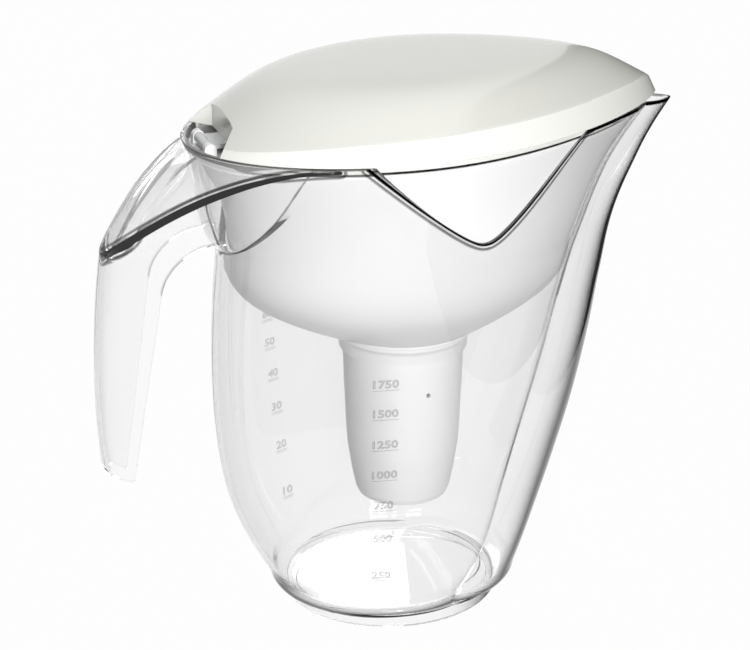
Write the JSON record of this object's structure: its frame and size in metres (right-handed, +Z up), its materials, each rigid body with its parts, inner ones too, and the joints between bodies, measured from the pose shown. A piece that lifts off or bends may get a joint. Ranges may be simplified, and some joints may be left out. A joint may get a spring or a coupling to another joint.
{
  "type": "water filter pitcher",
  "caption": "Clear pitcher with a pouring lobe, hood and hollow grip; a hanging funnel takes a round filter cartridge under a domed flip lid.",
  "frame": {"origin": "on the surface the pitcher stands on, midway between the spout's tip and the grip's back, in the plane of symmetry", "axes": "+Z up, +X towards the spout, +Y to the side"},
  "size_m": [0.3042, 0.1396, 0.2866],
  "materials": {
    "clear_plastic": "clear, smooth",
    "white_plastic": "translucent white, satin",
    "cream_plastic": "cream, glossy",
    "grey_plastic": "light grey, satin",
    "seal_rubber": "soft, matt",
    "screen_mesh": "fine mesh",
    "black_granules": "granules"
  },
  "bodies": {
    "jug_body": {"jug": "clear_plastic"},
    "funnel_body": {"funnel": "white_plastic"},
    "lid_body": {"lid": "cream_plastic", "hinge_tongue": "grey_plastic"},
    "cartridge_body": {"cartridge_housing": "white_plastic", "cartridge_cap": "white_plastic", "cartridge_seal": "seal_rubber", "upper_screen": "screen_mesh", "filter_media": "black_granules", "lower_screen": "screen_mesh"}
  },
  "joints": [
    {"name": "funnel_lift", "type": "slide", "parent": "jug_body", "child": "funnel_body", "axis": [0, 0, 1], "range_m": [0, 0.205]},
    {"name": "lid_hinge", "type": "hinge", "parent": "funnel_body", "child": "lid_body", "pos_m": [-0.0935, 0, 0.254], "axis": [0, -1, 0], "range_deg": [0, 95]},
    {"name": "cartridge_lift", "type": "slide", "parent": "funnel_body", "child": "cartridge_body", "axis": [0, 0, 1], "range_m": [0, 0.08]}
  ]
}
